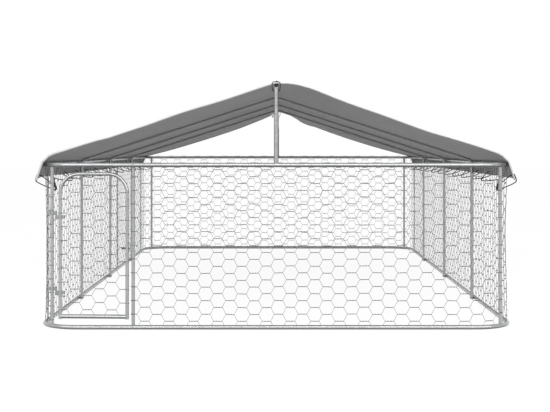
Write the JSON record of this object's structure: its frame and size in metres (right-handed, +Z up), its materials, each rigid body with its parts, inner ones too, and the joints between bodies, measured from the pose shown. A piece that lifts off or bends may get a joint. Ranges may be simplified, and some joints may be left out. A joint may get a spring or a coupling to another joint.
{
  "type": "dog kennel run",
  "caption": "Walk-in outdoor dog run: rounded ring frame of galvanised tube, hexagon wire netting walls, hinged netted door with a latch bolt and a laced sheet roof.",
  "frame": {"origin": "on the ground, under the middle of the run", "axes": "+Z up, +Y along the run from the door wall to the back, +X to the right seen from the door"},
  "size_m": [3.0748, 6.0063, 1.5562],
  "materials": {
    "galvanised": "satin",
    "hardware": "satin",
    "wire": "satin",
    "sheet": "matt woven sheet",
    "cord": "matt",
    "grey_plastic": "matt",
    "black_plastic": "matt"
  },
  "bodies": {
    "frame": {"bottom_bends": "galvanised", "front_bottom_rail": "galvanised", "back_bottom_rail": "galvanised", "left_bottom_rail": "galvanised", "right_bottom_rail": "galvanised", "top_bends": "galvanised", "front_top_rail": "galvanised", "back_top_rail": "galvanised", "left_top_rail": "galvanised", "right_top_rail": "galvanised", "front_left_post": "galvanised", "front_right_post": "galvanised", "back_left_post": "galvanised", "back_right_post": "galvanised", "jamb_post": "galvanised", "left_side_posts": "galvanised", "right_side_posts": "galvanised", "post_screws": "hardware", "jamb_bolts": "hardware", "jamb_nuts": "hardware", "front_king_lower": "galvanised", "front_king_upper": "galvanised", "back_king_lower": "galvanised", "back_king_upper": "galvanised", "king_collars": "grey_plastic", "king_screws": "hardware", "king_top_screws": "hardware", "apex_bends": "galvanised", "left_rafters": "galvanised", "right_rafters": "galvanised", "ridge_tube": "galvanised", "ridge_screws": "hardware", "ridge_end_plugs": "black_plastic", "front_net": "wire", "back_net": "wire", "left_net": "wire", "right_net": "wire", "sheet_roof": "sheet", "eyelets": "hardware", "left_lacing": "cord", "right_lacing": "cord", "front_ridge_tie": "cord", "back_ridge_tie": "cord", "post_hinge_clamps": "hardware", "post_clamp_bolts": "hardware", "post_clamp_nuts": "hardware", "hinge_pins": "hardware", "hinge_pin_nuts": "hardware", "latch_keeper": "hardware", "keeper_screws": "hardware"},
    "door": {"door_frame": "galvanised", "door_bottom_bar": "galvanised", "door_net": "wire", "door_hinge_clamps": "hardware", "door_clamp_bolts": "hardware", "door_clamp_nuts": "hardware"},
    "latch": {"latch_bolt": "hardware", "latch_knob": "hardware"}
  },
  "joints": [
    {"name": "door_hinge", "type": "hinge", "parent": "frame", "child": "door", "pos_m": [-1.38502, -2.92542, 0.478], "axis": [0, 0, -1], "range_deg": [0, 120]},
    {"name": "latch_slide", "type": "slide", "parent": "door", "child": "latch", "axis": [0.9988, -0.0491, 0], "range_m": [0, 0.013]}
  ]
}
